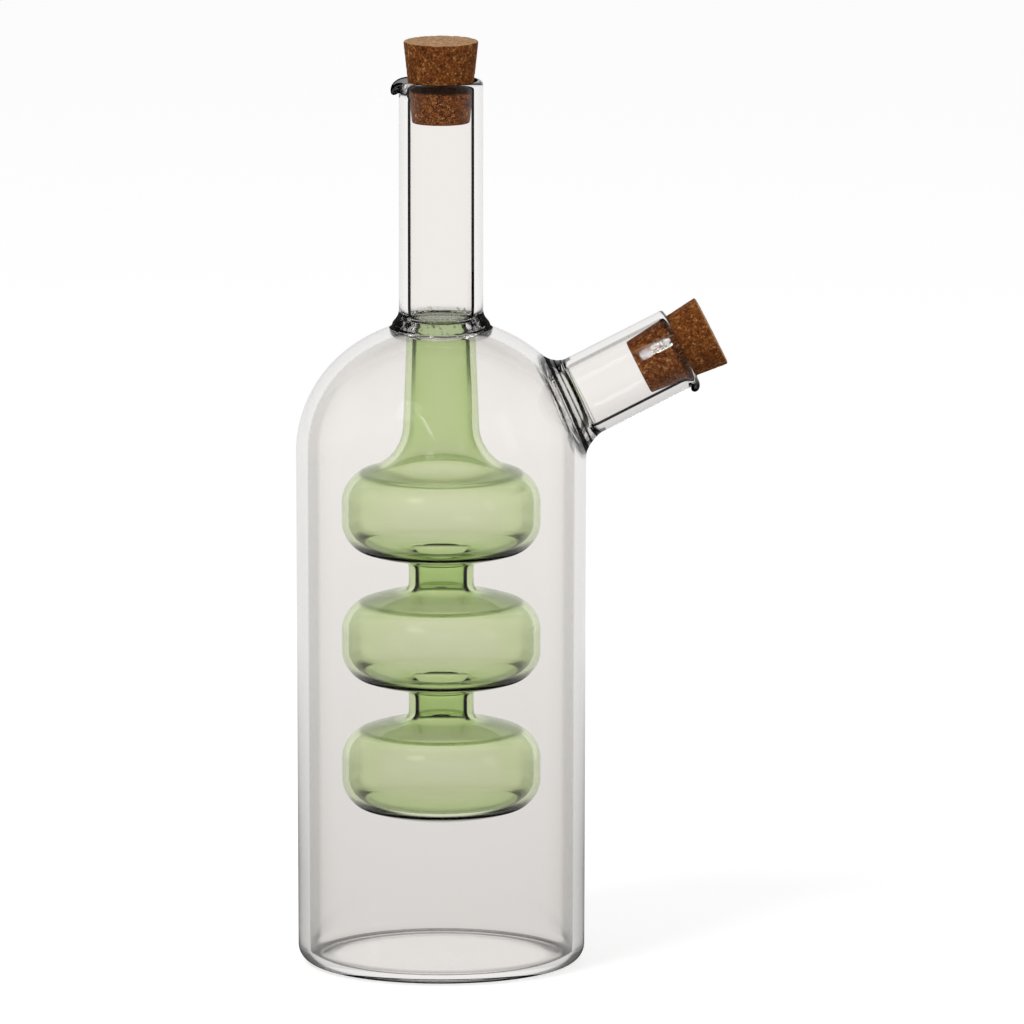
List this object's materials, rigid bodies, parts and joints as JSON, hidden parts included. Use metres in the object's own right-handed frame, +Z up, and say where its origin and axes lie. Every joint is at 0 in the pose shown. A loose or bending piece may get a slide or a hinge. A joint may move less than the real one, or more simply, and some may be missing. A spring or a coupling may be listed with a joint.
{
  "type": "oil and vinegar cruet",
  "caption": "Clear blown-glass cruet with a domed body and a side pouring spout, holding a green bulb-shaped inner vessel under its centre neck, each mouth closed by a tapered cork stopper.",
  "frame": {"origin": "centre of the flat underside, on the axis of the bottle and its centre neck", "axes": "+Z up along the bottle's axis, the side spout leans towards +X, the centre neck's pouring lip points to -X"},
  "size_m": [0.1127, 0.0758, 0.2434],
  "materials": {
    "clear_glass": "clear borosilicate glass, blown and flame-polished",
    "green_glass": "green borosilicate glass, blown and flame-polished",
    "cork": "pressed cork granules, sanded to a taper, uncoated"
  },
  "bodies": {
    "glass": {"outer_bottle": "clear_glass", "side_spout": "clear_glass", "neck_tube": "clear_glass", "inner_vessel": "green_glass"},
    "top_cork": {"top_stopper": "cork"},
    "side_cork": {"side_stopper": "cork"}
  },
  "joints": [
    {"name": "top_stopper_pull", "type": "slide", "parent": "glass", "child": "top_cork", "axis": [0, 0, 1], "range_m": [0, 0.03]},
    {"name": "side_stopper_pull", "type": "slide", "parent": "glass", "child": "side_cork", "axis": [0.8926, 0, 0.4509], "range_m": [0, 0.03]}
  ]
}
